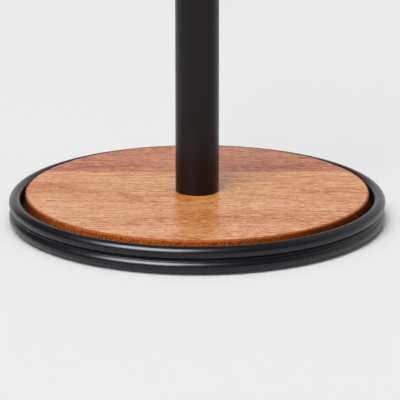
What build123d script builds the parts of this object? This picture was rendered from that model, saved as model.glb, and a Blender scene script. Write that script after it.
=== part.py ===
"""Paper towel holder: a wooden deck in a two-bar steel rim, and a post that screws onto the base.

The origin is on the counter, at the centre of the base. +Z runs up the post and +Y points to the back.
"""

import os

from build123d import *

# Driving sizes, in millimetres and degrees

# Rim bars, base plate and the tack welds between them
base_d = 165.1  # outside of the rim
rim_bar_d = 5.6
weld_seat_depth = 0.2  # flat on each bar where it is welded to the plate
plate_t = 0.8
plate_edge_inset = 1.45  # from the outside of the rim to the plate's edge
weld_count = 2
first_weld_angle = -152.5
weld_reach = 0.7  # how far a bead stands out from the plate's edge
weld_throat = 0.9  # how far a bead reaches above and below the plate
weld_arc = 2.2

# Wooden deck, glued up from staves
deck_t = 6.7
deck_gap = 1.5  # between the deck and the upper bar
deck_edge_r = 1.0
rear_stave_w = 45.4  # from the deck's back edge to the first glue joint
front_stave_w = 19.2  # from the last glue joint to the deck's front edge
middle_staves = 2  # equal staves between those joints

# Pan-head screws that hold the deck from below
screw_count = 3
first_screw_angle = 90.0
screw_edge_inset = 22.4  # from the deck's edge to a screw
screw_d = 3.0
screw_head_d = 5.6
screw_head_h = 1.8
screw_head_edge_r = 0.9
screw_l = 6.0  # under the head
screw_tip_l = 1.5
screw_hole_clearance = 0.2
cross_l = 3.0  # cross recess in the screw heads
cross_w = 0.7
cross_depth = 1.0

# Post and its cap
holder_h = 330.0
post_d = 19.05
post_wall = 1.2
post_foot_r = 0.4
cap_dome_h = 2.4
cap_band_h = 0.8  # straight band under the dome
cap_stem_l = 12.0
cap_wall = 1.5

# Clamp bolt, its washers and the threaded plug in the post
thread_d = 6.0
thread_fit = 0.05  # radial clearance between the bolt and the plug
bolt_l = 20.0  # under the head
bolt_head_overhang = 2.25  # from the thread to the edge of the head
bolt_head_h = 2.8
bolt_head_r = 1.6
hex_w = 4.0
hex_depth = 1.8
bolt_tip_chamfer = 0.6
bolt_hole_clearance = 0.3  # radial, in the plate, the deck and the washers
lock_washer_w = 2.0  # radial width of the ring
lock_washer_t = 1.2
lock_washer_slit = 0.8
lock_washer_slant = 30.0
flat_washer_w = 2.7
flat_washer_t = 1.0
foot_washer_t = 1.0
foot_washer_clearance = 0.3  # radial, in the plug's recess
plug_lip = 1.0  # wall of the plug around its recess
plug_setback = 0.2  # from the foot of the tube to the plug
plug_run_out = 4.0  # thread past the tip of the bolt

# Rubber feet, stuck under the plate inside the lower bar
foot_count = 4
first_foot_angle = 45.0
foot_d = 12.0
foot_gap = 10.0  # between a foot and the lower bar
foot_stand = 0.6  # height of the lower bar above the counter
foot_draft = 6.0
foot_edge_r = 0.8

# Radii that follow from them
rim_r = (base_d - rim_bar_d) / 2  # centre line of both bars
rim_inner_r = base_d / 2 - rim_bar_d
plate_r = base_d / 2 - plate_edge_inset
deck_r = rim_inner_r - deck_gap
screw_circle_r = deck_r - screw_edge_inset
foot_circle_r = rim_inner_r - foot_gap - foot_d / 2
screw_r = screw_d / 2
screw_head_r = screw_head_d / 2
thread_r = thread_d / 2
bolt_hole_r = thread_r + bolt_hole_clearance
post_r = post_d / 2
tube_bore_r = post_r - post_wall
recess_r = tube_bore_r - plug_lip

# Heights that follow from them
lower_bar_z = foot_stand + rim_bar_d / 2
plate_z = foot_stand + rim_bar_d - weld_seat_depth
deck_z = plate_z + plate_t
upper_bar_z = deck_z + rim_bar_d / 2 - weld_seat_depth
deck_top_z = deck_z + deck_t
bolt_seat_z = plate_z - flat_washer_t - lock_washer_t
bolt_tip_z = bolt_seat_z + bolt_l
washer_top_z = deck_top_z + foot_washer_t
plug_top_z = bolt_tip_z + plug_run_out
tube_top_z = holder_h - cap_dome_h - cap_band_h
stem_z = tube_top_z - cap_stem_l

on_top = (Align.CENTER, Align.CENTER, Align.MIN)

os.makedirs("parts", exist_ok=True)

# Rim bars: round bar bent into a ring, with a flat weld seat on the side of the plate
with BuildPart() as upper_rim_ring:
    with BuildSketch(Plane.XZ):
        with Locations((rim_r, upper_bar_z)):
            Circle(rim_bar_d / 2)
        with Locations((rim_r, deck_z)):
            Rectangle(rim_bar_d, rim_bar_d, align=(Align.CENTER, Align.MAX), mode=Mode.SUBTRACT)
    revolve(axis=Axis.Z)
upper_rim_ring.part.label = "upper_rim_ring"
export_step(upper_rim_ring.part, "parts/upper_rim_ring.step")

with BuildPart() as lower_rim_ring:
    with BuildSketch(Plane.XZ):
        with Locations((rim_r, lower_bar_z)):
            Circle(rim_bar_d / 2)
        with Locations((rim_r, plate_z)):
            Rectangle(rim_bar_d, rim_bar_d, align=(Align.CENTER, Align.MIN), mode=Mode.SUBTRACT)
    revolve(axis=Axis.Z)
lower_rim_ring.part.label = "lower_rim_ring"
export_step(lower_rim_ring.part, "parts/lower_rim_ring.step")

# Base plate: a sheet steel disc with the bolt hole and the screw holes
with BuildPart() as base_plate:
    with BuildSketch(Plane.XY.offset(plate_z)):
        Circle(plate_r)
        Circle(bolt_hole_r, mode=Mode.SUBTRACT)
        with PolarLocations(screw_circle_r, screw_count, start_angle=first_screw_angle):
            Circle(screw_r + screw_hole_clearance, mode=Mode.SUBTRACT)
    extrude(amount=plate_t)
base_plate.part.label = "base_plate"
export_step(base_plate.part, "parts/base_plate.step")

# Tack welds: short beads in the groove between the bars, round the plate's edge
with BuildPart() as rim_welds:
    for number in range(weld_count):
        bead_angle = first_weld_angle + 360 / weld_count * number
        with BuildSketch(Plane.XZ.rotated((0, 0, bead_angle))):
            with Locations((plate_r, plate_z + plate_t / 2)):
                Ellipse(weld_reach, plate_t / 2 + weld_throat)
                Rectangle(
                    weld_reach,
                    plate_t,
                    align=(Align.MAX, Align.CENTER),
                    mode=Mode.SUBTRACT,
                )
            with Locations((rim_r, upper_bar_z), (rim_r, lower_bar_z)):
                Circle(rim_bar_d / 2, mode=Mode.SUBTRACT)
        revolve(axis=Axis.Z, revolution_arc=weld_arc)
rim_welds.part.label = "rim_welds"
export_step(rim_welds.part, "parts/rim_welds.step")

# Deck screws: rounded pan head under the plate, plain shank for the thread, pointed tip
with BuildPart() as deck_screws:
    with Locations((0, 0, plate_z - screw_head_h)):
        with PolarLocations(screw_circle_r, screw_count, start_angle=first_screw_angle):
            Cylinder(screw_head_r, screw_head_h, align=on_top)
    fillet(deck_screws.edges().filter_by(GeomType.CIRCLE).group_by(Axis.Z)[0], screw_head_edge_r)
    with Locations((0, 0, plate_z)):
        with PolarLocations(screw_circle_r, screw_count, start_angle=first_screw_angle):
            Cylinder(screw_r, screw_l - screw_tip_l, align=on_top)
    with Locations((0, 0, plate_z + screw_l - screw_tip_l)):
        with PolarLocations(screw_circle_r, screw_count, start_angle=first_screw_angle):
            Cone(screw_r, 0, screw_tip_l, align=on_top)
    with Locations((0, 0, plate_z - screw_head_h)):
        with PolarLocations(screw_circle_r, screw_count, start_angle=first_screw_angle):
            Box(cross_l, cross_w, cross_depth, align=on_top, mode=Mode.SUBTRACT)
            Box(cross_w, cross_l, cross_depth, align=on_top, mode=Mode.SUBTRACT)
deck_screws.part.label = "deck_screws"
export_step(deck_screws.part, "parts/deck_screws.step")

# Deck staves, numbered from the back: strips of one round board with a rounded top edge
rear_joint_y = deck_r - rear_stave_w
middle_stave_w = (2 * deck_r - rear_stave_w - front_stave_w) / middle_staves
glue_joints = [rear_joint_y - middle_stave_w * number for number in range(middle_staves + 1)]
stave_backs = [base_d / 2] + glue_joints
stave_fronts = glue_joints + [-base_d / 2]
for number, (back_y, front_y) in enumerate(zip(stave_backs, stave_fronts), start=1):
    with BuildPart() as deck_stave:
        with BuildSketch(Plane.XZ) as board:
            with Locations((0, deck_z)):
                Rectangle(deck_r, deck_t, align=(Align.MIN, Align.MIN))
            fillet(board.vertices().group_by(Axis.Y)[-1].sort_by(Axis.X)[-1], deck_edge_r)
        revolve(axis=Axis.Z)
        with Locations((0, back_y, 0)):
            Box(
                base_d,
                back_y - front_y,
                holder_h,
                align=(Align.CENTER, Align.MAX, Align.MIN),
                mode=Mode.INTERSECT,
            )
        with Locations((0, 0, deck_top_z)):
            Hole(bolt_hole_r)
        add(deck_screws.part, mode=Mode.SUBTRACT)
    deck_stave.part.label = f"deck_stave_{number}"
    export_step(deck_stave.part, f"parts/deck_stave_{number}.step")

# Rubber feet: drafted pads from the plate down to the counter
for number in range(foot_count):
    foot_angle = first_foot_angle + 360 / foot_count * number
    foot_centre = Vector(foot_circle_r, 0, plate_z).rotate(Axis.Z, foot_angle)
    with BuildPart() as rubber_foot:
        with BuildSketch(Plane(origin=foot_centre, z_dir=(0, 0, -1))):
            Circle(foot_d / 2)
        extrude(amount=plate_z, taper=foot_draft)
        fillet(rubber_foot.edges().filter_by(GeomType.CIRCLE).sort_by(Axis.Z)[0], foot_edge_r)
    rubber_foot.part.label = f"rubber_foot_{number + 1}"
    export_step(rubber_foot.part, f"parts/rubber_foot_{number + 1}.step")

# Clamp bolt: low round head with a hex socket, plain shank for the thread
with BuildPart() as clamp_bolt:
    with BuildSketch(Plane.XY.offset(bolt_seat_z - bolt_head_h)):
        Circle(thread_r + bolt_head_overhang)
    extrude(amount=bolt_head_h)
    fillet(clamp_bolt.edges().filter_by(GeomType.CIRCLE).sort_by(Axis.Z)[0], bolt_head_r)
    with BuildSketch(Plane.XY.offset(bolt_seat_z)):
        Circle(thread_r)
    extrude(amount=bolt_l)
    chamfer(clamp_bolt.edges().filter_by(GeomType.CIRCLE).sort_by(Axis.Z)[-1], bolt_tip_chamfer)
    with BuildSketch(Plane.XY.offset(bolt_seat_z - bolt_head_h)):
        RegularPolygon(hex_w / 2, 6, major_radius=False)
    extrude(amount=hex_depth, mode=Mode.SUBTRACT)
clamp_bolt.part.label = "clamp_bolt"
export_step(clamp_bolt.part, "parts/clamp_bolt.step")

# Lock washer: a spring ring with a slanting slit, pressed flat
with BuildPart() as lock_washer:
    with BuildSketch(Plane.XY.offset(bolt_seat_z)):
        Circle(bolt_hole_r + lock_washer_w)
        Circle(bolt_hole_r, mode=Mode.SUBTRACT)
    extrude(amount=lock_washer_t)
    with Locations((bolt_hole_r + lock_washer_w / 2, 0, bolt_seat_z + lock_washer_t / 2)):
        Box(
            2 * lock_washer_w,
            lock_washer_slit,
            4 * lock_washer_t,
            rotation=(lock_washer_slant, 0, 0),
            mode=Mode.SUBTRACT,
        )
lock_washer.part.label = "lock_washer"
export_step(lock_washer.part, "parts/lock_washer.step")

with BuildPart() as flat_washer:
    with BuildSketch(Plane.XY.offset(bolt_seat_z + lock_washer_t)):
        Circle(bolt_hole_r + flat_washer_w)
        Circle(bolt_hole_r, mode=Mode.SUBTRACT)
    extrude(amount=flat_washer_t)
flat_washer.part.label = "flat_washer"
export_step(flat_washer.part, "parts/flat_washer.step")

# Foot washer: in the plug's recess, between the post and the wood
with BuildPart() as foot_washer:
    with BuildSketch(Plane.XY.offset(deck_top_z)):
        Circle(recess_r - foot_washer_clearance)
        Circle(bolt_hole_r, mode=Mode.SUBTRACT)
    extrude(amount=foot_washer_t)
foot_washer.part.label = "foot_washer"
export_step(foot_washer.part, "parts/foot_washer.step")

# Post plug: pressed into the foot of the tube, with a recess for the washer and a threaded bore
with BuildPart() as post_plug:
    with BuildSketch(Plane.XY.offset(deck_top_z + plug_setback)):
        Circle(tube_bore_r)
        Circle(recess_r, mode=Mode.SUBTRACT)
    extrude(amount=foot_washer_t - plug_setback)
    with BuildSketch(Plane.XY.offset(washer_top_z)):
        Circle(tube_bore_r)
        Circle(thread_r + thread_fit, mode=Mode.SUBTRACT)
    extrude(amount=plug_top_z - washer_top_z)
post_plug.part.label = "post_plug"
export_step(post_plug.part, "parts/post_plug.step")

# Post tube: stands on the deck, with its foot edge broken
with BuildPart() as post_tube:
    with BuildSketch(Plane.XY.offset(deck_top_z)):
        Circle(post_r)
        Circle(tube_bore_r, mode=Mode.SUBTRACT)
    extrude(amount=tube_top_z - deck_top_z)
    foot_edges = post_tube.edges().filter_by(GeomType.CIRCLE).group_by(Axis.Z)[0]
    fillet(foot_edges.sort_by(SortBy.RADIUS)[-1], post_foot_r)
post_tube.part.label = "post_tube"
export_step(post_tube.part, "parts/post_tube.step")

# Post cap: hollow stem in the tube, straight band and low dome, flush with the tube
with BuildPart() as post_cap:
    with BuildSketch(Plane.XZ):
        with BuildLine():
            TangentArc((0, holder_h), (post_r, tube_top_z + cap_band_h), tangent=(1, 0))
            Polyline(
                (post_r, tube_top_z + cap_band_h),
                (post_r, tube_top_z),
                (tube_bore_r, tube_top_z),
                (tube_bore_r, stem_z),
                (tube_bore_r - cap_wall, stem_z),
                (tube_bore_r - cap_wall, tube_top_z),
                (0, tube_top_z),
                (0, holder_h),
            )
        make_face()
    revolve(axis=Axis.Z)
post_cap.part.label = "post_cap"
export_step(post_cap.part, "parts/post_cap.step")
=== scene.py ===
"""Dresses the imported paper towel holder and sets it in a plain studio.

The steel gets its powder coat, the deck its oiled acacia and the fasteners their zinc plate. The tack welds
and the clamp bolt are built again with the detail that their solids leave out, and the groove gets its fillet
of coat.
"""

from __future__ import annotations

import logging
import math
from dataclasses import dataclass
from enum import Enum

import bmesh
import bpy
from mathutils import Matrix, Vector


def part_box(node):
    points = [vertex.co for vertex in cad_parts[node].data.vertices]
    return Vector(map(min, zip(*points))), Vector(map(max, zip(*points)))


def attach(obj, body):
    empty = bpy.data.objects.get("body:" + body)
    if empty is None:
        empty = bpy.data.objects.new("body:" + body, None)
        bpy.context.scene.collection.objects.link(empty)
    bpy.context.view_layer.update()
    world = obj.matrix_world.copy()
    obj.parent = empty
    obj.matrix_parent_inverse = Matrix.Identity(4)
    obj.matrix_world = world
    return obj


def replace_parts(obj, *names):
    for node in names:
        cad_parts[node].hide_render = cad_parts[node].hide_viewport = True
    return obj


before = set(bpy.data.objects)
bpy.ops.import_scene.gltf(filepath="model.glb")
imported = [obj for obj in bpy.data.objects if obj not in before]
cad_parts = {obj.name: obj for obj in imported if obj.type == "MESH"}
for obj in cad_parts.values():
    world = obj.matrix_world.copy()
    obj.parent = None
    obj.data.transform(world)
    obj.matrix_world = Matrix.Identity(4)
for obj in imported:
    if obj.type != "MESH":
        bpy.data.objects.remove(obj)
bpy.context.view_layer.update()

LOG = logging.getLogger("paper_towel_holder")
MM = 0.001
MERGE_M = 2e-6  # points nearer than this are one point
CUT_M = 1e-8  # points nearer than this to a cutting plane lie on it
HEX_SIDES = 6
FACETS = 48  # round the bolt's head, a multiple of the socket's sides
WAVE_RADIANS = 20.0  # what the wave texture's rings turn through in one unit
NOISE_MIDDLE = 0.5
NOISE_SPREAD = (0.3, 0.7)  # where nearly all values of a noise texture lie
UP = (0.0, 0.0, 1.0)
ORIGIN = (0.0, 0.0, 0.0)

Socket = bpy.types.NodeSocket
Node = bpy.types.Node
Tree = bpy.types.NodeTree
Material = bpy.types.Material
Shape = bmesh.types.BMesh
Piece = bpy.types.Object


class Body(Enum):
    """The bodies of the frame that pieces ride on."""

    BASE = "base"
    WASHER = "washer"
    POST = "post"


class Stave(Enum):
    """The staves of the deck by their places, with the nodes that hold them."""

    REAR = "deck_stave_1"
    MIDDLE_REAR = "deck_stave_2"
    MIDDLE_FRONT = "deck_stave_3"
    FRONT = "deck_stave_4"


def linear(code: str) -> tuple[float, float, float, float]:
    """Turns an sRGB hex colour into linear values.

    Args:
        code: The colour as #RRGGBB.

    Returns:
        Red, green and blue in linear light, with an alpha of 1.
    """
    shares = [int(code[i:i + 2], 16) / 255 for i in (1, 3, 5)]
    red, green, blue = (s / 12.92 if s <= 0.04045 else ((s + 0.055) / 1.055) ** 2.4 for s in shares)
    return red, green, blue, 1.0


def per_m(size_mm: float) -> float:
    """Gives the texture scale at which one cell of a pattern is this many millimetres."""
    return 1.0 / (size_mm * MM)


def along_grain(length_mm: float, width_mm: float) -> tuple[float, float, float]:
    """Gives the mapping scale at which one cell is this long along X and this wide across it."""
    return per_m(length_mm), per_m(width_mm), per_m(width_mm)


def feed(node: Node, inputs: dict) -> None:
    """Sets or links the inputs of a node.

    Args:
        node: The node that gets them.
        inputs: Input sockets by name or number, each with a value or with the socket that feeds it.
    """
    for key, value in inputs.items():
        if isinstance(value, Socket):
            node.id_data.links.new(value, node.inputs[key])
        else:
            node.inputs[key].default_value = value


def add_node(tree: Tree, kind: str, inputs: dict | None = None, **settings: object) -> Node:
    """Adds a node with its settings and links.

    Args:
        tree: The node tree that gets the node.
        kind: Blender's name for the kind of node.
        inputs: Input sockets by name or number, each with a value or with the socket that feeds it.
        **settings: Properties of the node itself.

    Returns:
        The node.
    """
    made = tree.nodes.new(kind)
    for name, value in settings.items():
        setattr(made, name, value)
    feed(made, inputs or {})
    return made


def start_material(name: str) -> tuple[Material, Tree, Node, Socket]:
    """Starts a material with one shader.

    Args:
        name: The real material's name.

    Returns:
        The material, its node tree, its shader and the object's coordinates in metres.
    """
    made = bpy.data.materials.new(name)
    made.use_nodes = True
    tree = made.node_tree
    tree.nodes.clear()
    shader = add_node(tree, "ShaderNodeBsdfPrincipled")
    add_node(tree, "ShaderNodeOutputMaterial", {"Surface": shader.outputs[0]})
    place = add_node(tree, "ShaderNodeTexCoord").outputs["Object"]
    return made, tree, shader, place


def seen_directly(tree: Tree) -> Socket:
    """Tells light that is seen, mirrored or seen through glass from light that only falls on things.

    Args:
        tree: The node tree that needs to know.

    Returns:
        A socket that gives 1 for camera, glossy and transmission rays and 0 for the rest.
    """
    ray = add_node(tree, "ShaderNodeLightPath")
    mirrored = add_node(tree, "ShaderNodeMath", {
        0: ray.outputs["Is Camera Ray"], 1: ray.outputs["Is Glossy Ray"]}, operation="MAXIMUM")
    either = add_node(tree, "ShaderNodeMath", {
        0: mirrored.outputs[0], 1: ray.outputs["Is Transmission Ray"]}, operation="MAXIMUM")
    return either.outputs[0]


@dataclass(frozen=True)
class PowderCoat:
    """Black powder coat on steel, sprayed and baked.

    It flows out with a faint orange peel, so the eye sees near black with broad, slightly broken highlights.
    How thick it lies decides how strongly it mirrors, and its mirrored light can have a slight cast.
    """

    name: str
    colour: str
    worn: str
    ior: float
    sheen: tuple[float, float]
    sheen_cast: str = "#ffffff"
    peel_mm: float = 1.3  # real peel is about 0.5 mm, too fine to show at this distance
    peel_depth_mm: float = 0.0009
    mottle_mm: float = 9.0

    def build(self) -> Material:
        """Builds the material and returns it."""
        made, tree, shader, place = start_material(self.name)
        mottle = add_node(tree, "ShaderNodeTexNoise", {
            "Vector": place, "Scale": per_m(self.mottle_mm), "Detail": 3.0})
        sheen = add_node(tree, "ShaderNodeMapRange", {
            "Value": mottle.outputs[0], "From Min": NOISE_SPREAD[0], "From Max": NOISE_SPREAD[1],
            "To Min": self.sheen[0], "To Max": self.sheen[1]})
        peel = add_node(tree, "ShaderNodeTexNoise", {
            "Vector": place, "Scale": per_m(self.peel_mm), "Detail": 1.0})
        relief = add_node(tree, "ShaderNodeBump", {
            "Height": peel.outputs[0], "Strength": 1.0, "Distance": self.peel_depth_mm * MM})
        tint = add_node(tree, "ShaderNodeMix", {
            "Factor": mottle.outputs[0], "A": linear(self.colour), "B": linear(self.worn)}, data_type="RGBA")
        feed(shader, {
            "Base Color": tint.outputs["Result"], "Roughness": sheen.outputs[0], "Normal": relief.outputs[0],
            "IOR": self.ior, "Specular Tint": linear(self.sheen_cast)})
        return made


@dataclass(frozen=True)
class TonePatch:
    """A patch of redder heartwood, or of paler sapwood where its depth is negative, as a soft ellipse. A
    paler patch can instead be painted light.
    """

    centre_mm: tuple[float, float]
    half_mm: tuple[float, float]
    depth: float
    turn_deg: float = 0.0


@dataclass(frozen=True)
class GrainLayer:
    """Marks that run along the grain: their length, their width and their share in the wood's tone."""

    length_mm: float
    width_mm: float
    share: float


@dataclass(frozen=True)
class SideDarkening:
    """Where the deck's side darkens: as end grain, which soaks up more oil, or as painted shade.

    It starts and ends at shares of the deck's radius to the right of its centre, and ends at its most.
    """

    start: float
    end: float
    most: float


@dataclass(frozen=True)
class Acacia:
    """Oiled acacia, planed and sanded along the grain, then cut to a disc with a rounded top edge.

    The oil leaves a satin skin that looks pale where it mirrors a bright room and deep orange where it
    mirrors something dark. The grain shows as streaks, dashes, fibres and flecks over faint growth rings,
    with patches of heartwood and paler wood and dark open pores; a pale patch can also be painted light.
    The rounded edge is browner. The sawn side is dull and speckled, darker at its left end as end grain
    and darker over its right half with painted shade.
    """

    name: str
    pale: str
    warm: str
    heart: str
    pith_mm: tuple[float, float]
    slope_deg: float
    seed_mm: float
    patches: tuple[TonePatch, ...] = ()
    pore_share: float = 0.6
    sheen: tuple[float, float] = (0.26, 0.44)
    ior: float = 1.63

    sway_cell_mm: tuple[float, float] = (45.0, 14.0)
    sway_mm: tuple[float, float] = (3.0, 1.0)  # across the face, and down into the wood
    ring_mm: float = 7.0
    ring_stretch: float = 0.1
    ring_warp: float = 5.0
    ring_fray: float = per_m(14.0)  # multiplies the rings' own scale, so the frayed edge is fine
    ring_share: float = 0.26
    streaks: GrainLayer = GrainLayer(30.0, 1.1, 1.9)
    dashes: GrainLayer = GrainLayer(9.5, 0.75, 2.9)
    fibres: GrainLayer = GrainLayer(3.2, 0.5, 3.7)  # real fibres are too fine to show, so these are bundles
    flecks: GrainLayer = GrainLayer(1.0, 0.4, 3.5)
    pore_mm: tuple[float, float] = (9.0, 1.6)  # from pore to pore, along and across
    pore_edge: tuple[float, float] = (0.1, 0.26)
    pore: str = "#7c3a14"
    warm_tones: tuple[float, float] = (-0.5, 0.15)
    heart_tones: tuple[float, float] = (0.1, 0.75)
    sheen_tones: tuple[float, float] = (-0.3, 0.7)
    relief_mm: float = 0.018
    face_gloss: float = 0.5

    rounding_mm: tuple[float, float] = (1.0, 0.6)  # how far in from the side the rounding begins, softly
    side_mm: tuple[float, float] = (0.25, 0.03)  # how far in the rounding gives way to the side
    round_pale: str = "#c06826"
    round_dark: str = "#843a10"
    edge_pale: str = "#f58232"
    edge_dark: str = "#7a290a"
    end_grain_and_shade: str = "#4a1d0a"
    # The side darkens at its left end as end grain; the darkening from the centre out over the right half is
    # painted shade.
    side_darkenings: tuple[SideDarkening, SideDarkening] = (SideDarkening(-0.72, -0.98, 0.8), SideDarkening(0.0, 0.65, 0.68))
    speckle_mm: float = 0.55
    speckle_spread: tuple[float, float] = (0.38, 0.62)
    edge_roughness: float = 0.6
    edge_gloss: float = 0.12

    def build(self, deck_r_m: float) -> Material:
        """Builds the material.

        Args:
            deck_r_m: The radius of the deck, whose side is cut across and along the grain.

        Returns:
            The material.
        """
        made, tree, shader, place = start_material(self.name)
        grain = self.grain_space(tree, place)
        tone, fibres = self.add_tone(tree, grain)
        pores = self.add_pores(tree, grain)
        flat = add_node(tree, "ShaderNodeVectorMath", {0: place, 1: (1.0, 1.0, 0.0)}, operation="MULTIPLY")
        length = add_node(tree, "ShaderNodeVectorMath", {0: flat.outputs[0]}, operation="LENGTH")
        reach = length.outputs["Value"]
        rim = add_node(tree, "ShaderNodeMapRange", {
            "Value": reach, "From Min": deck_r_m - self.rounding_mm[0] * MM,
            "From Max": deck_r_m - self.rounding_mm[1] * MM}, interpolation_type="SMOOTHSTEP").outputs[0]
        above_side = add_node(tree, "ShaderNodeMapRange", {
            "Value": reach, "From Min": deck_r_m - self.side_mm[0] * MM,
            "From Max": deck_r_m - self.side_mm[1] * MM, "To Min": 1.0, "To Max": 0.0}).outputs[0]

        colour = add_node(tree, "ShaderNodeMix", {
            "Factor": rim, "A": self.face_colour(tree, tone, pores),
            "B": self.edge_colour(tree, place, above_side, deck_r_m)}, data_type="RGBA")
        sheen = add_node(tree, "ShaderNodeMapRange", {
            "Value": tone, "From Min": self.sheen_tones[0], "From Max": self.sheen_tones[1],
            "To Min": self.sheen[0], "To Max": self.sheen[1]})
        dulled = add_node(tree, "ShaderNodeMix", {
            "Factor": rim, "A": sheen.outputs[0], "B": self.edge_roughness})
        satin = add_node(tree, "ShaderNodeMix", {"Factor": rim, "A": self.face_gloss, "B": self.edge_gloss})
        gloss = add_node(tree, "ShaderNodeMath", {
            0: satin.outputs["Result"], 1: above_side}, operation="MULTIPLY")
        dents = add_node(tree, "ShaderNodeMath", {0: pores, 1: -1.0, 2: fibres}, operation="MULTIPLY_ADD")
        relief = add_node(tree, "ShaderNodeBump", {
            "Height": dents.outputs[0], "Strength": 1.0, "Distance": self.relief_mm * MM})
        feed(shader, {
            "Base Color": colour.outputs["Result"], "Roughness": dulled.outputs["Result"],
            "Specular IOR Level": gloss.outputs[0], "Normal": relief.outputs[0], "IOR": self.ior})
        return made

    def grain_space(self, tree: Tree, place: Socket) -> Socket:
        """Turns coordinates along the grain and lets them sway with it.

        Args:
            tree: The material's node tree.
            place: The object's coordinates.

        Returns:
            Coordinates whose X runs along the grain.
        """
        turned = add_node(tree, "ShaderNodeMapping", {
            "Vector": place, "Location": (self.seed_mm * MM, 0.0, 0.0),
            "Rotation": (0.0, 0.0, math.radians(self.slope_deg))}).outputs[0]
        cells = add_node(tree, "ShaderNodeMapping", {
            "Vector": turned, "Scale": along_grain(*self.sway_cell_mm)})
        sway = add_node(tree, "ShaderNodeTexNoise", {"Vector": cells.outputs[0], "Scale": 1.0, "Detail": 2.0})
        wavy = add_node(tree, "ShaderNodeVectorMath", {
            0: sway.outputs["Color"], 1: (0.0, self.sway_mm[0] * MM, self.sway_mm[1] * MM), 2: turned},
            operation="MULTIPLY_ADD")
        return wavy.outputs[0]

    def add_tone(self, tree: Tree, grain: Socket) -> tuple[Socket, Socket]:
        """Adds up the growth rings, the layers of the grain and the patches.

        Args:
            tree: The material's node tree.
            grain: Coordinates along the grain.

        Returns:
            The wood's tone, low where it is pale, and the noise of its fibres.
        """
        ring_space = add_node(tree, "ShaderNodeMapping", {
            "Vector": grain, "Location": (0.0, -self.pith_mm[0] * MM, -self.pith_mm[1] * MM),
            "Scale": (self.ring_stretch, 1.0, 1.0)})
        rings = add_node(tree, "ShaderNodeTexWave", {
            "Vector": ring_space.outputs[0], "Scale": math.tau / WAVE_RADIANS / (self.ring_mm * MM),
            "Distortion": self.ring_warp, "Detail": 3.0, "Detail Scale": self.ring_fray},
            wave_type="RINGS", rings_direction="X")
        tone = add_node(tree, "ShaderNodeMath", {
            0: rings.outputs[1], 1: self.ring_share, 2: -self.ring_share / 2}, operation="MULTIPLY_ADD")
        noises = {}
        for layer in (self.streaks, self.dashes, self.fibres, self.flecks):
            space = add_node(tree, "ShaderNodeMapping", {
                "Vector": grain, "Scale": along_grain(layer.length_mm, layer.width_mm)})
            noise = add_node(tree, "ShaderNodeTexNoise", {
                "Vector": space.outputs[0], "Scale": 1.0, "Detail": 1.0})
            noises[layer] = noise.outputs[0]
            centred = add_node(tree, "ShaderNodeMath", {
                0: noise.outputs[0], 1: NOISE_MIDDLE}, operation="SUBTRACT")
            tone = add_node(tree, "ShaderNodeMath", {
                0: centred.outputs[0], 1: layer.share, 2: tone.outputs[0]}, operation="MULTIPLY_ADD")
        for patch in self.patches:
            spot = add_node(tree, "ShaderNodeMapping", {
                "Vector": grain,
                "Location": (patch.centre_mm[0] * MM + self.seed_mm * MM, patch.centre_mm[1] * MM, 0.0),
                "Rotation": (0.0, 0.0, math.radians(patch.turn_deg)),
                "Scale": (patch.half_mm[0] * MM, patch.half_mm[1] * MM, 1.0)}, vector_type="TEXTURE")
            glow = add_node(tree, "ShaderNodeTexGradient", {
                "Vector": spot.outputs[0]}, gradient_type="SPHERICAL")
            tone = add_node(tree, "ShaderNodeMath", {
                0: glow.outputs[1], 1: patch.depth, 2: tone.outputs[0]}, operation="MULTIPLY_ADD")
        return tone.outputs[0], noises[self.fibres]

    def add_pores(self, tree: Tree, grain: Socket) -> Socket:
        """Scatters open pores.

        Args:
            tree: The material's node tree.
            grain: Coordinates along the grain.

        Returns:
            A socket that gives 1 in a pore and 0 between them.
        """
        space = add_node(tree, "ShaderNodeMapping", {"Vector": grain, "Scale": along_grain(*self.pore_mm)})
        cells = add_node(tree, "ShaderNodeTexVoronoi", {"Vector": space.outputs[0], "Scale": 1.0})
        pores = add_node(tree, "ShaderNodeMapRange", {
            "Value": cells.outputs["Distance"], "From Min": self.pore_edge[0], "From Max": self.pore_edge[1],
            "To Min": 1.0, "To Max": 0.0})
        return pores.outputs[0]

    def face_colour(self, tree: Tree, tone: Socket, pores: Socket) -> Socket:
        """Colours the flat face.

        Args:
            tree: The material's node tree.
            tone: The wood's tone.
            pores: Where its pores are.

        Returns:
            The colour.
        """
        low, high = (add_node(tree, "ShaderNodeMapRange", {"Value": tone, "From Min": start, "From Max": end})
                     for start, end in (self.warm_tones, self.heart_tones))
        body = add_node(tree, "ShaderNodeMix", {
            "Factor": low.outputs[0], "A": linear(self.pale), "B": linear(self.warm)}, data_type="RGBA")
        hearted = add_node(tree, "ShaderNodeMix", {
            "Factor": high.outputs[0], "A": body.outputs["Result"], "B": linear(self.heart)},
            data_type="RGBA")
        share = add_node(tree, "ShaderNodeMath", {0: pores, 1: self.pore_share}, operation="MULTIPLY")
        pored = add_node(tree, "ShaderNodeMix", {
            "Factor": share.outputs[0], "A": hearted.outputs["Result"], "B": linear(self.pore)},
            data_type="RGBA")
        return pored.outputs["Result"]

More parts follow.
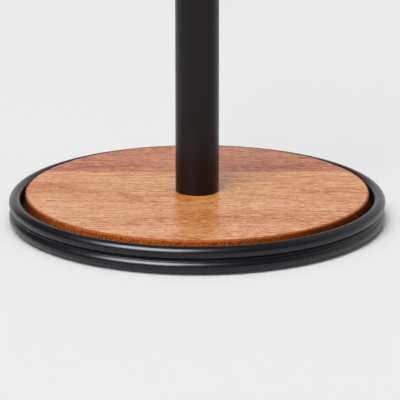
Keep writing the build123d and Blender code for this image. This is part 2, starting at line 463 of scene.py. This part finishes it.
    def edge_colour(self, tree: Tree, place: Socket, above_side: Socket, deck_r_m: float) -> Socket:
        """Colours the sanded rounding and the sawn side below it.

        Args:
            tree: The material's node tree.
            place: The object's coordinates.
            above_side: Gives 1 on the rounding and 0 on the side.
            deck_r_m: The radius of the deck.

        Returns:
            The colour.
        """
        speckle = add_node(tree, "ShaderNodeTexNoise", {
            "Vector": place, "Scale": per_m(self.speckle_mm), "Detail": 2.0, "Roughness": 0.7})
        rough_cut = add_node(tree, "ShaderNodeMapRange", {
            "Value": speckle.outputs[0], "From Min": self.speckle_spread[0],
            "From Max": self.speckle_spread[1]})
        sawn, sanded = (add_node(tree, "ShaderNodeMix", {
            "Factor": rough_cut.outputs[0], "A": linear(pale), "B": linear(dark)}, data_type="RGBA")
            for pale, dark in ((self.edge_pale, self.edge_dark), (self.round_pale, self.round_dark)))
        rightward = add_node(tree, "ShaderNodeSeparateXYZ", {0: place}).outputs["X"]
        # Darker towards the left end as end grain, and over the right half with painted shade.
        left, right = (add_node(tree, "ShaderNodeMapRange", {
            "Value": rightward, "From Min": darkening.start * deck_r_m, "From Max": darkening.end * deck_r_m,
            "To Min": 0.0, "To Max": darkening.most}) for darkening in self.side_darkenings)
        darkening_share = add_node(tree, "ShaderNodeMath", {
            0: left.outputs[0], 1: right.outputs[0]}, operation="MAXIMUM")
        side = add_node(tree, "ShaderNodeMix", {
            "Factor": darkening_share.outputs[0], "A": sawn.outputs["Result"], "B": linear(self.end_grain_and_shade)},
            data_type="RGBA")
        edge = add_node(tree, "ShaderNodeMix", {
            "Factor": above_side, "A": side.outputs["Result"], "B": sanded.outputs["Result"]},
            data_type="RGBA")
        return edge.outputs["Result"]


@dataclass(frozen=True)
class ZincPlate:
    """Bright zinc plated steel, rolled or stamped and then plated.

    The plating is grey with a faint blue and straw cast and a soft, slightly cloudy shine.
    """

    name: str = "bright_zinc_plate"
    cool: str = "#c3c8cc"
    straw: str = "#cfc9b6"
    shine: tuple[float, float] = (0.22, 0.42)
    cloud_mm: float = 2.5
    scratch_mm: float = 0.5  # real scratches are finer, too fine to show
    scratch_depth_mm: float = 0.003

    def build(self) -> Material:
        """Builds the material and returns it."""
        made, tree, shader, place = start_material(self.name)
        cloud = add_node(tree, "ShaderNodeTexNoise", {
            "Vector": place, "Scale": per_m(self.cloud_mm), "Detail": 2.0})
        tint = add_node(tree, "ShaderNodeMix", {
            "Factor": cloud.outputs[0], "A": linear(self.cool), "B": linear(self.straw)}, data_type="RGBA")
        shine = add_node(tree, "ShaderNodeMapRange", {
            "Value": cloud.outputs[0], "To Min": self.shine[0], "To Max": self.shine[1]})
        grit = add_node(tree, "ShaderNodeTexNoise", {
            "Vector": place, "Scale": per_m(self.scratch_mm), "Detail": 1.0})
        relief = add_node(tree, "ShaderNodeBump", {
            "Height": grit.outputs[0], "Strength": 1.0, "Distance": self.scratch_depth_mm * MM})
        feed(shader, {
            "Base Color": tint.outputs["Result"], "Roughness": shine.outputs[0], "Normal": relief.outputs[0],
            "Metallic": 1.0})
        return made


@dataclass(frozen=True)
class Moulded:
    """A moulded or pressed material with a fine even grain: rubber, plastic or fibre.

    The grain scatters light, so the eye sees a dull, even colour with small lighter flecks.
    """

    name: str
    dark: str
    light: str
    roughness: float
    grain_mm: float  # coarser than the real grain, which is too fine to show
    grain_depth_mm: float
    fleck_mm: float

    def build(self) -> Material:
        """Builds the material and returns it."""
        made, tree, shader, place = start_material(self.name)
        fleck = add_node(tree, "ShaderNodeTexNoise", {
            "Vector": place, "Scale": per_m(self.fleck_mm), "Detail": 4.0, "Roughness": 0.65})
        tint = add_node(tree, "ShaderNodeMix", {
            "Factor": fleck.outputs[0], "A": linear(self.dark), "B": linear(self.light)}, data_type="RGBA")
        grain = add_node(tree, "ShaderNodeTexNoise", {
            "Vector": place, "Scale": per_m(self.grain_mm), "Detail": 1.0})
        relief = add_node(tree, "ShaderNodeBump", {
            "Height": grain.outputs[0], "Strength": 1.0, "Distance": self.grain_depth_mm * MM})
        feed(shader, {
            "Base Color": tint.outputs["Result"], "Roughness": self.roughness, "Normal": relief.outputs[0]})
        return made


@dataclass(frozen=True)
class StudioPaper:
    """Matt seamless paper: a plain pale floor, seen through from below so that it hides no underside.

    Part of its paleness is a painted glow of its own, so the shadow on it stays soft. That share
    is smallest under the rim. It grows outwards, and also inwards, where the glow lights the underside of the
    base.
    """

    name: str = "studio_paper"
    colour: str = "#ededee"
    glow_colour: str = "#f0f0f0"
    glow_share: tuple[float, float] = (0.04, 0.5)
    unseen_share: float = 0.5  # for light that goes on to other surfaces
    around_reach_m: tuple[float, float] = (0.0826, 0.092)
    under_reach_m: tuple[float, float] = (0.078, 0.072)

    def build(self) -> Material:
        """Builds the material and returns it."""
        made, tree, shader, place = start_material(self.name)
        feed(shader, {"Base Color": linear(self.colour), "Roughness": 1.0, "Specular IOR Level": 0.0})
        # Painted glow: the paper's own emission, which lightens its shadow.
        pale = add_node(tree, "ShaderNodeEmission", {"Color": linear(self.glow_colour), "Strength": 1.0})
        away = add_node(tree, "ShaderNodeVectorMath", {0: place}, operation="LENGTH")
        around, under = (add_node(tree, "ShaderNodeMapRange", {
            "Value": away.outputs["Value"], "From Min": dark_m, "From Max": pale_m,
            "To Min": self.glow_share[0], "To Max": self.glow_share[1]})
            for dark_m, pale_m in (self.around_reach_m, self.under_reach_m))
        # The painted glow's share: least under the rim, more outwards and under the base.
        own = add_node(tree, "ShaderNodeMath", {
            0: around.outputs[0], 1: under.outputs[0]}, operation="MAXIMUM")
        ray = add_node(tree, "ShaderNodeLightPath")
        share = add_node(tree, "ShaderNodeMix", {
            "Factor": ray.outputs["Is Diffuse Ray"], "A": own.outputs[0], "B": self.unseen_share})
        lit = add_node(tree, "ShaderNodeMixShader", {
            0: share.outputs[0], 1: shader.outputs[0], 2: pale.outputs[0]})
        side = add_node(tree, "ShaderNodeNewGeometry")
        clear = add_node(tree, "ShaderNodeBsdfTransparent")
        mixed = add_node(tree, "ShaderNodeMixShader", {
            0: side.outputs["Backfacing"], 1: lit.outputs[0], 2: clear.outputs[0]})
        output = next(node for node in tree.nodes if node.type == "OUTPUT_MATERIAL")
        feed(output, {"Surface": mixed.outputs[0]})
        return made


def dress(node: str, material: Material) -> None:
    """Gives a node of the frame its material."""
    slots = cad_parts[node].data.materials
    slots.clear()
    slots.append(material)
    LOG.info("%s: %s", node, material.name)


def new_piece(shape: Shape, name: str, material: Material, body: Body,
              crease_deg: float = 35.0) -> Piece:
    """Turns a bmesh into a piece that rides on a body.

    Args:
        shape: The finished bmesh, which is freed.
        name: The piece's name.
        material: What it is made of.
        body: The body that it moves with.
        crease_deg: Edges that turn by more than this stay sharp.

    Returns:
        The new object, at the origin.
    """
    bmesh.ops.remove_doubles(shape, verts=shape.verts, dist=MERGE_M)
    bmesh.ops.recalc_face_normals(shape, faces=shape.faces)
    for face in shape.faces:
        face.smooth = True
    for edge in shape.edges:
        edge.smooth = edge.calc_face_angle(0.0) < math.radians(crease_deg)
    mesh = bpy.data.meshes.new(name)
    shape.to_mesh(mesh)
    shape.free()
    mesh.materials.append(material)
    piece = bpy.data.objects.new(name, mesh)
    bpy.context.scene.collection.objects.link(piece)
    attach(piece, body.value)
    LOG.info("%s: new piece on %s, %s", name, body.value, material.name)
    return piece


@dataclass
class Rim:
    """The two bars, the plate between them, and the tack welds and the fillet of coat in their groove."""

    coat: Material
    plate_coat: Material
    bead_count: int = 2
    first_bead_deg: float = -151.9
    bead_length_mm: float = 4.7
    bead_reach_mm: float = 0.7
    bead_facets: tuple[int, int] = (24, 20)
    ripple_count: int = 4
    ripple_share: float = 0.07
    bar_d_mm: float = 5.6
    fillet_mm: tuple[float, float] = (0.15, 0.16)  # out over the bar, and up the plate's edge
    fillet_root_mm: float = 0.05
    fillet_steps: int = 6
    ring_steps: int = 240

    def dress(self) -> None:
        """Coats the bars and the plate."""
        for node in ("upper_rim_ring", "lower_rim_ring"):
            dress(node, self.coat)
        dress("base_plate", self.plate_coat)

    def build_welds(self) -> Piece:
        """Builds the rippled tack welds and returns them as one piece."""
        plate_low, plate_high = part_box("base_plate")
        weld_low, weld_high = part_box("rim_welds")
        middle_z = (plate_low.z + plate_high.z) / 2
        half = Vector((self.bead_reach_mm * MM, self.bead_length_mm * MM / 2, (weld_high.z - weld_low.z) / 2))
        lying = Matrix.Rotation(math.pi / 2, 4, "X")
        shape = bmesh.new()
        for number in range(self.bead_count):
            angle = math.radians(self.first_bead_deg + 360.0 * number / self.bead_count)
            bead = bmesh.ops.create_uvsphere(
                shape, u_segments=self.bead_facets[0], v_segments=self.bead_facets[1], radius=1.0,
                matrix=lying)["verts"]
            for vert in bead:
                swell = 1.0 + self.ripple_share * math.cos(self.ripple_count * math.pi * vert.co.y)
                vert.co.x *= swell
                vert.co.z *= swell
            bmesh.ops.scale(shape, vec=half, verts=bead)
            bmesh.ops.translate(shape, vec=(plate_high.x, 0.0, middle_z), verts=bead)
            bmesh.ops.rotate(shape, cent=ORIGIN, matrix=Matrix.Rotation(angle, 3, "Z"), verts=bead)
        piece = new_piece(shape, "tack_welds", self.coat, Body.BASE)
        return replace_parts(piece, "rim_welds")

    def build_fillet(self) -> Piece:
        """Builds the hollow fillet of coat that gathers between the plate's edge and the lower bar.

        Its section runs from a root in the bar up the plate's edge, and in a hollow curve down to the bar.

        Returns:
            The fillet, one thin ring.
        """
        bar_low, bar_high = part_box("lower_rim_ring")
        plate_low, plate_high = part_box("base_plate")
        bar_r = self.bar_d_mm * MM / 2
        centre = Vector((bar_high.x - bar_r, 0.0, bar_low.z + bar_r))
        corner, toe = (Vector((x, 0.0, centre.z + math.sqrt(bar_r ** 2 - (x - centre.x) ** 2)))
                       for x in (plate_high.x, plate_high.x + self.fillet_mm[0] * MM))
        top = Vector((plate_high.x, 0.0, plate_low.z + self.fillet_mm[1] * MM))
        run = (toe - centre).normalized()
        along = Vector((-run.z, 0.0, run.x))
        knee = toe + along * ((toe.x - top.x) / -along.x)
        shape = bmesh.new()
        line = [shape.verts.new(corner - run * self.fillet_root_mm * MM)]
        for step in range(self.fillet_steps + 1):
            part = step / self.fillet_steps
            hollow = top * (1 - part) ** 2 + knee * 2 * part * (1 - part) + toe * part ** 2
            line.append(shape.verts.new(hollow))
        edges = [shape.edges.new(pair) for pair in zip(line, line[1:] + line[:1])]
        bmesh.ops.spin(shape, geom=line + edges, cent=ORIGIN, axis=UP, dvec=ORIGIN, angle=math.tau,
                       steps=self.ring_steps, use_merge=True, use_duplicate=False)
        return new_piece(shape, "coat_fillet", self.coat, Body.BASE)


@dataclass
class Deck:
    """The four glued staves and the screws that hold them to the plate."""

    finishes: dict[Stave, Acacia]
    plating: Material

    def radius(self) -> float:
        """Returns the deck's radius in metres, from the widest stave."""
        return max(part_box(stave.value)[1].x for stave in Stave)

    def dress(self) -> None:
        """Oils the staves, each with its own grain, and plates the screws."""
        for stave, finish in self.finishes.items():
            dress(stave.value, finish.build(self.radius()))
        dress("deck_screws", self.plating)


@dataclass
class ClampStack:
    """The bolt that clamps the post to the base, with its two washers."""

    plating: Material
    pitch_mm: float = 1.0
    thread_depth_mm: float = 0.61
    run_out_mm: float = 1.2
    tip_chamfer_mm: float = 0.7
    head_edge_mm: float = 1.6
    head_edge_steps: int = 6
    hex_w_mm: float = 4.0
    hex_depth_mm: float = 1.8
    drill_point_mm: float = 0.5
    steps_per_turn: int = 36
    spare_turns: int = 2
    # One thread from root to root: shares of its depth, and of its pitch
    profile: tuple[tuple[float, float], ...] = (
        (0.0, 0.0), (0.0, 0.25), (1.0, 0.5625), (1.0, 0.6875), (0.0, 1.0))

    def dress(self) -> None:
        """Plates the two washers."""
        for node in ("lock_washer", "flat_washer"):
            dress(node, self.plating)

    def build_bolt(self) -> Piece:
        """Builds the threaded bolt with its hex socket and returns it."""
        low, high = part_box("clamp_bolt")
        seat_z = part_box("lock_washer")[0].z
        shape = bmesh.new()
        self.add_thread(shape, self.thread_radius(), seat_z, high.z)
        shank = [e for e in shape.edges if e.is_boundary and e.verts[0].co.z < seat_z + MERGE_M]
        self.add_head(shape, shank, high.x, seat_z, low.z)
        piece = new_piece(shape, "clamp_bolt_threaded", self.plating, Body.BASE)
        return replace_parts(piece, "clamp_bolt")

    def thread_radius(self) -> float:
        """Returns the thread's outer radius in metres, from the bolt's mesh above the deck."""
        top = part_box(Stave.MIDDLE_REAR.value)[1].z
        return max(v.co.xy.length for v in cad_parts["clamp_bolt"].data.vertices if v.co.z > top)

    def add_thread(self, shape: Shape, outer_r: float, seat_z: float, tip_z: float) -> None:
        """Adds the threaded shank, open at its seat.

        It is wound longer than the bolt and cut off at both ends. Then the thread runs out at the seat, and
        the tip gets its chamfer.

        Args:
            shape: The bolt's bmesh.
            outer_r: The thread's outer radius, in metres.
            seat_z: Where the head begins.
            tip_z: Where the shank ends.
        """
        pitch = self.pitch_mm * MM
        depth = self.thread_depth_mm * MM
        turns = math.ceil((tip_z - seat_z) / pitch) + self.spare_turns
        points = [shape.verts.new((outer_r - depth * (1.0 - rise), 0.0, seat_z + (along - 1.0) * pitch))
                  for rise, along in self.profile]
        lines = [shape.edges.new(pair) for pair in zip(points, points[1:])]
        bmesh.ops.spin(shape, geom=points + lines, axis=UP, cent=ORIGIN,
                       dvec=(0.0, 0.0, pitch / self.steps_per_turn), angle=math.tau * turns,
                       steps=self.steps_per_turn * turns)
        bmesh.ops.remove_doubles(shape, verts=shape.verts, dist=MERGE_M)
        for cut_z, side in ((seat_z, -1.0), (tip_z, 1.0)):
            bmesh.ops.bisect_plane(shape, geom=shape.verts[:] + shape.edges[:] + shape.faces[:], dist=CUT_M,
                                   plane_co=(0.0, 0.0, cut_z), plane_no=(0.0, 0.0, side), clear_outer=True)
        neck_r = outer_r - depth
        for vert in shape.verts:
            reach = vert.co.xy.length
            faded = neck_r + (reach - neck_r) * min(1.0, (vert.co.z - seat_z) / (self.run_out_mm * MM))
            coned = neck_r + max(0.0, tip_z - vert.co.z) - max(0.0, self.tip_chamfer_mm * MM - depth)
            vert.co.xy *= min(faded, coned) / reach
        tip = [e for e in shape.edges if e.is_boundary and e.verts[0].co.z > tip_z - MERGE_M]
        bmesh.ops.holes_fill(shape, edges=tip, sides=0)

    def add_head(self, shape: Shape, shank: list, head_r: float, seat_z: float, low_z: float) -> None:
        """Adds the low round head with its hex socket.

        Args:
            shape: The bolt's bmesh.
            shank: The open edges at the foot of the shank.
            head_r: The head's radius, in metres.
            seat_z: The face that bears on the washers.
            low_z: The head's lowest point.
        """
        collar = bmesh.ops.create_circle(shape, segments=FACETS, radius=head_r)["verts"]
        bmesh.ops.translate(shape, vec=(0.0, 0.0, seat_z), verts=collar)
        collar_edges = list({e for v in collar for e in v.link_edges})
        bmesh.ops.bridge_loops(shape, edges=shank + collar_edges)
        wall = bmesh.ops.extrude_edge_only(shape, edges=collar_edges)["geom"]
        lower = [g for g in wall if isinstance(g, bmesh.types.BMVert)]
        bmesh.ops.translate(shape, vec=(0.0, 0.0, low_z - seat_z), verts=lower)
        lower_edges = [e for e in shape.edges if e.verts[0] in lower and e.verts[1] in lower]
        hex_r = self.hex_w_mm * MM / math.sqrt(3.0)
        hexagon = bmesh.ops.create_circle(shape, segments=HEX_SIDES, radius=hex_r)["verts"]
        bmesh.ops.translate(shape, vec=(0.0, 0.0, low_z), verts=hexagon)
        sides = list({e for v in hexagon for e in v.link_edges})
        split = bmesh.ops.subdivide_edges(shape, edges=sides, cuts=FACETS // HEX_SIDES - 1)["geom"]
        mouth = [g for g in split if isinstance(g, bmesh.types.BMEdge) and g.is_wire]
        bmesh.ops.bridge_loops(shape, edges=lower_edges + mouth)
        socket = bmesh.ops.extrude_edge_only(shape, edges=mouth)["geom"]
        floor_verts = [g for g in socket if isinstance(g, bmesh.types.BMVert)]
        bmesh.ops.translate(shape, vec=(0.0, 0.0, self.hex_depth_mm * MM), verts=floor_verts)
        floor_edges = [e for e in shape.edges if e.verts[0] in floor_verts and e.verts[1] in floor_verts]
        bottom = bmesh.ops.holes_fill(shape, edges=floor_edges, sides=0)["faces"]
        drilled = bmesh.ops.poke(shape, faces=bottom)["verts"]
        bmesh.ops.translate(shape, vec=(0.0, 0.0, self.drill_point_mm * MM), verts=drilled)
        bmesh.ops.bevel(shape, geom=lower_edges, offset=self.head_edge_mm * MM, offset_type="OFFSET",
                        segments=self.head_edge_steps, profile=0.5, affect="EDGES", material=-1)


@dataclass
class Feet:
    """The rubber feet under the plate."""

    rubber: Material
    count: int = 4

    def dress(self) -> None:
        """Gives each foot its rubber."""
        for number in range(self.count):
            dress(f"rubber_foot_{number + 1}", self.rubber)


@dataclass
class Post:
    """The tube with its cap, its threaded plug and the washer that it stands on."""

    coat: Material
    plating: Material
    plastic: Material
    fibre: Material

    def dress(self) -> None:
        """Gives each piece of the post its material."""
        dress("post_tube", self.coat)
        dress("post_cap", self.plastic)
        dress("post_plug", self.plating)
        dress("foot_washer", self.fibre)


@dataclass(frozen=True)
class Lamp:
    """A soft box that hangs round the object and points at it.

    Its share is the brightness that it would give white paper on the floor. The shares of the boxes that
    light, with the room's, make about 1. A box that only lights has its glare flagged off, and one that is
    only mirrored stands for a bright strip that adds little light.
    """

    name: str
    left_deg: float
    up_deg: float
    distance_m: float
    size_m: tuple[float, float]
    share: float
    lights: bool = True
    mirrored: bool = True
    colour: str = "#ffffff"

    def hang(self) -> None:
        """Hangs the lamp."""
        left, up = math.radians(self.left_deg), math.radians(self.up_deg)
        way = Vector((-math.sin(left) * math.cos(up), -math.cos(left) * math.cos(up), math.sin(up)))
        box = bpy.data.lights.new(self.name, "AREA")
        box.shape = "RECTANGLE"
        box.size, box.size_y = self.size_m
        box.color = linear(self.colour)[:3]
        box.energy = math.pi ** 2 * self.share * self.distance_m ** 2 / math.sin(up)
        lamp = bpy.data.objects.new(self.name, box)
        lamp.location = way * self.distance_m
        lamp.rotation_euler = way.to_track_quat("Z", "Y").to_euler()
        lamp.visible_camera = False
        lamp.visible_diffuse = self.lights
        lamp.visible_glossy = self.mirrored
        bpy.context.scene.collection.objects.link(lamp)
        LOG.info("%s: lamp, share %.2f", self.name, self.share)


@dataclass(frozen=True)
class Ramp:
    """A soft change along one axis of the room's directions, from nothing at its start to all at its end."""

    axis: str
    start: float
    end: float


@dataclass(frozen=True)
class PaleZone:
    """A part of the room that glossy surfaces mirror as pale, where all its ramps have risen."""

    level: float
    ramps: tuple[Ramp, ...]


@dataclass
class Studio:
    """A pale paper floor, a room that is pale behind and at the right and dark elsewhere, and the camera."""

    paper: Material
    floor_half_m: float = 15.0
    fill_share: float = 0.22
    fill_colour: str = "#ffffff"
    backdrop: str = "#ededee"
    dark: float = 0.10  # linear grey of the rest of the room, where it is mirrored
    zones: tuple[PaleZone, ...] = (
        PaleZone(1.0, (Ramp("Y", 0.72, 0.92), Ramp("Z", 0.48, 0.36))),
        PaleZone(0.66, (Ramp("X", 0.0, 0.5), Ramp("Y", -0.7, 0.3), Ramp("Z", 0.97, 0.8))))
    camera_m: tuple[float, float, float] = (0.00124, -1.27546, 0.3816)
    camera_pitch_deg: float = 16.284
    lens_mm: float = 272.23
    sensor_mm: float = 36.0
    sight_m: float = 60.0

    def build_floor(self) -> None:
        """Lays the paper floor."""
        shape = bmesh.new()
        bmesh.ops.create_grid(shape, x_segments=1, y_segments=1, size=self.floor_half_m)
        mesh = bpy.data.meshes.new("floor")
        shape.to_mesh(mesh)
        shape.free()
        mesh.materials.append(self.paper)
        floor = bpy.data.objects.new("floor", mesh)
        bpy.context.scene.collection.objects.link(floor)

    def build_room(self) -> None:
        """Makes the room: an even fill for what it lights, and its pale zones for what mirrors it."""
        world = bpy.data.worlds.new("studio_room")
        bpy.context.scene.world = world
        world.use_nodes = True
        tree = world.node_tree
        tree.nodes.clear()
        way = add_node(tree, "ShaderNodeTexCoord").outputs["Generated"]
        axes = add_node(tree, "ShaderNodeSeparateXYZ", {0: way})
        paleness = add_node(tree, "ShaderNodeLightPath").outputs["Is Camera Ray"]
        for zone in self.zones:
            level = zone.level
            for ramp in zone.ramps:
                risen = add_node(tree, "ShaderNodeMapRange", {
                    "Value": axes.outputs[ramp.axis], "From Min": ramp.start, "From Max": ramp.end},
                    interpolation_type="SMOOTHSTEP")
                level = add_node(tree, "ShaderNodeMath", {
                    0: level, 1: risen.outputs[0]}, operation="MULTIPLY").outputs[0]
            paleness = add_node(tree, "ShaderNodeMath", {
                0: paleness, 1: level}, operation="MAXIMUM").outputs[0]
        seen_colour = add_node(tree, "ShaderNodeMix", {
            "Factor": paleness, "A": (self.dark, self.dark, self.dark, 1.0), "B": linear(self.backdrop)},
            data_type="RGBA")
        fill = add_node(tree, "ShaderNodeBackground", {
            "Color": linear(self.fill_colour), "Strength": self.fill_share})
        seen = add_node(tree, "ShaderNodeBackground", {
            "Color": seen_colour.outputs["Result"], "Strength": 1.0})
        mixed = add_node(tree, "ShaderNodeMixShader", {
            0: seen_directly(tree), 1: fill.outputs[0], 2: seen.outputs[0]})
        add_node(tree, "ShaderNodeOutputWorld", {"Surface": mixed.outputs[0]})

    def build_camera(self) -> None:
        """Sets the camera where the photograph was taken from."""
        lens = bpy.data.cameras.new("camera")
        lens.sensor_width = self.sensor_mm
        lens.lens = self.lens_mm
        lens.clip_end = self.sight_m
        camera = bpy.data.objects.new("camera", lens)
        camera.location = self.camera_m
        camera.rotation_euler = (math.radians(90.0 - self.camera_pitch_deg), 0.0, 0.0)
        bpy.context.scene.collection.objects.link(camera)
        bpy.context.scene.camera = camera


STAVES = {
    Stave.REAR: Acacia(
        "oiled_acacia_heart", pale="#de8852", warm="#c0643a", heart="#943e1a", pith_mm=(60.0, -70.0),
        slope_deg=0.6, seed_mm=310.0, sheen=(0.33, 0.50), patches=(
            TonePatch((-45.0, 42.0), (60.0, 6.0), depth=0.2, turn_deg=1.0),
            TonePatch((45.0, 42.0), (60.0, 9.0), depth=0.25, turn_deg=-1.0),
            TonePatch((0.0, 50.0), (34.0, 30.0), depth=-0.4))),
    Stave.MIDDLE_REAR: Acacia(
        "oiled_acacia_honey_rear", pale="#f0aa5c", warm="#d67a32", heart="#b6581c", pith_mm=(10.0, -90.0),
        slope_deg=-1.0, seed_mm=70.0, patches=(
            TonePatch((-68.0, 6.0), (34.0, 13.0), depth=0.55, turn_deg=-8.0),
            TonePatch((-22.0, 17.0), (36.0, 14.0), depth=-0.4),
            TonePatch((52.0, -2.0), (46.0, 8.0), depth=0.35),
            TonePatch((-28.0, -6.0), (40.0, 6.0), depth=0.2))),
    Stave.MIDDLE_FRONT: Acacia(
        "oiled_acacia_honey_front", pale="#eeaa6e", warm="#d27634", heart="#b4561e", pith_mm=(-30.0, -110.0),
        slope_deg=0.4, seed_mm=190.0, pore_share=0.75, patches=(
            TonePatch((22.0, -43.0), (66.0, 9.0), depth=0.35),
            TonePatch((-54.0, -32.0), (46.0, 20.0), depth=-0.6),
            TonePatch((40.0, -23.0), (46.0, 10.0), depth=-0.2),
            # Painted light: this paler patch lightens the wood just in front of the post, where the post's
            # dark reflection lies in the deck.
            TonePatch((1.0, -26.0), (24.0, 18.0), depth=-0.35))),
    Stave.FRONT: Acacia(
        "oiled_acacia_honey_edge", pale="#f8ba80", warm="#df8e4e", heart="#ba6428", pith_mm=(-75.0, -60.0),
        slope_deg=-0.4, seed_mm=450.0, pore_share=1.0, sheen=(0.29, 0.46), patches=(
            TonePatch((-40.0, -60.0), (34.0, 10.0), depth=-0.2),
            TonePatch((42.0, -63.0), (26.0, 6.0), depth=0.4, turn_deg=8.0))),
}
RIM_COAT = PowderCoat(
    "satin_black_powder_coat", colour="#0f0a11", worn="#140e16", ior=1.46, sheen=(0.27, 0.30),
    sheen_cast="#fcf8ff")
PLATE_COAT = PowderCoat(
    "thin_black_powder_coat", colour="#0f0a11", worn="#140e16", ior=1.25, sheen=(0.5, 0.56))
POST_COAT = PowderCoat(
    "matt_black_powder_coat", colour="#100709", worn="#140a0c", ior=1.33, sheen=(0.30, 0.33))
RUBBER = Moulded(
    "moulded_rubber", dark="#1f1f1f", light="#2b2b2b", roughness=0.82, grain_mm=0.4, grain_depth_mm=0.02,
    fleck_mm=1.6)
PLASTIC = Moulded(
    "moulded_black_plastic", dark="#191919", light="#202021", roughness=0.46, grain_mm=0.5,
    grain_depth_mm=0.012, fleck_mm=3.0)
FIBRE = Moulded(
    "vulcanised_fibre", dark="#4c261d", light="#6b3a2b", roughness=0.7, grain_mm=0.5, grain_depth_mm=0.02,
    fleck_mm=1.2)
LAMPS = (
    Lamp("key_softbox", left_deg=27.0, up_deg=52.0, distance_m=8.0, size_m=(4.0, 2.8), share=0.42,
         mirrored=False),
    Lamp("fill_softbox", left_deg=-8.0, up_deg=80.0, distance_m=8.0, size_m=(4.8, 3.2), share=0.38,
         mirrored=False),
    Lamp("front_softbox", left_deg=38.5, up_deg=51.5, distance_m=2.4, size_m=(1.8, 1.5), share=2.05,
         lights=False, colour="#f2feff"),
)


def main() -> None:
    """Builds and dresses each sub-assembly, then the studio."""
    logging.basicConfig(level=logging.INFO, format="%(name)s: %(message)s")
    plating = ZincPlate().build()
    rim = Rim(RIM_COAT.build(), PLATE_COAT.build())
    rim.dress()
    rim.build_welds()
    rim.build_fillet()
    Deck(STAVES, plating).dress()
    stack = ClampStack(plating)
    stack.dress()
    stack.build_bolt()
    Feet(RUBBER.build()).dress()
    Post(POST_COAT.build(), plating, PLASTIC.build(), FIBRE.build()).dress()
    for lamp in LAMPS:
        lamp.hang()
    studio = Studio(StudioPaper().build())
    studio.build_floor()
    studio.build_room()
    studio.build_camera()
    bpy.context.scene.view_settings.view_transform = "Standard"


if __name__ == "__main__":
    main()
